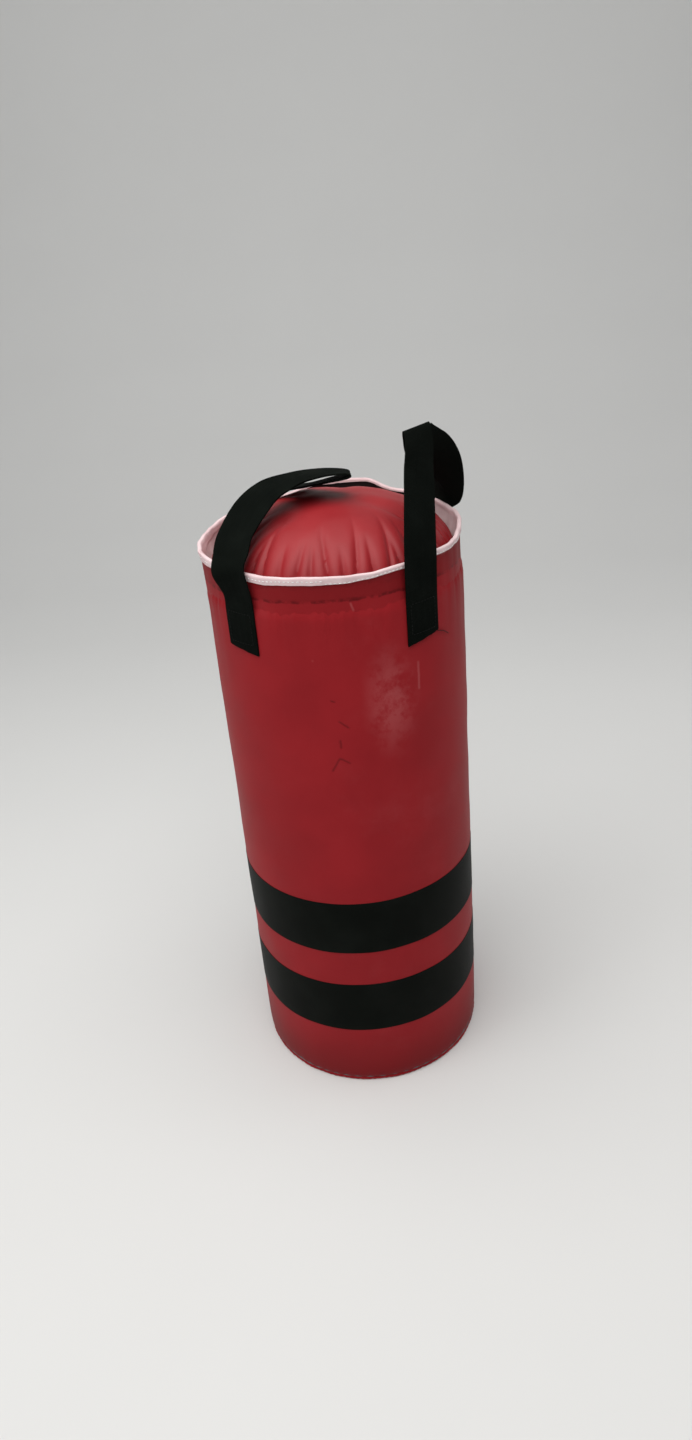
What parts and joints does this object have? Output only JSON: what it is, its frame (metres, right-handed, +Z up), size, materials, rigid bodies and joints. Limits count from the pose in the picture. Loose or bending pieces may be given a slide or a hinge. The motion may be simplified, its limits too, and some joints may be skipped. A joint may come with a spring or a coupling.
{
  "type": "junior punch bag",
  "caption": "Stuffed cylindrical punch bag with a stitched collar, domed cap and two webbing carrying loops that swing over the rim.",
  "frame": {"origin": "centre of the underside, on the surface that the bag stands on", "axes": "+Z up along the bag's axis, -Y the front, between the two front straps, +X the side of the upright loop"},
  "size_m": [0.2668, 0.2626, 0.7215],
  "materials": {
    "red_vinyl": "red PVC leathercloth with a soft sheen",
    "black_band": "black printed film on the leathercloth",
    "white_tape": "white woven binding tape",
    "white_lining": "white backing cloth",
    "black_webbing": "black woven webbing",
    "red_thread": "dark red sewing thread",
    "black_thread": "black sewing thread",
    "grey_foam": "open-cell foam",
    "fibre_fill": "packed textile offcuts"
  },
  "bodies": {
    "bag": {"base_foam": "grey_foam", "base_panel": "red_vinyl", "base_welt": "red_vinyl", "cap_seam_thread": "red_thread", "collar_lining": "white_lining", "fibre_core": "fibre_fill", "left_front_patch": "white_lining", "left_front_stitching": "black_thread", "left_front_tail": "black_webbing", "left_rear_patch": "white_lining", "left_rear_stitching": "black_thread", "left_rear_tail": "black_webbing", "lower_band": "black_band", "right_front_patch": "white_lining", "right_front_stitching": "black_thread", "right_front_tail": "black_webbing", "right_rear_patch": "white_lining", "right_rear_stitching": "black_thread", "right_rear_tail": "black_webbing", "rim_binding": "white_tape", "side_foam": "grey_foam", "skin_panel": "red_vinyl", "top_cap": "red_vinyl", "top_foam": "grey_foam", "upper_band": "black_band"},
    "right_strap": {"right_loop": "black_webbing"},
    "left_strap": {"left_loop": "black_webbing"}
  },
  "joints": [
    {"name": "right_strap_swing", "type": "hinge", "parent": "bag", "child": "right_strap", "pos_m": [0.09999, -0.01799, 0.62216], "axis": [0.1765, 0.9812, 0.0785], "range_deg": [-30, 60]},
    {"name": "left_strap_swing", "type": "hinge", "parent": "bag", "child": "left_strap", "pos_m": [-0.08391, 0.00117, 0.62369], "axis": [-0.0139, -0.9967, -0.0797], "range_deg": [0, 60]}
  ]
}
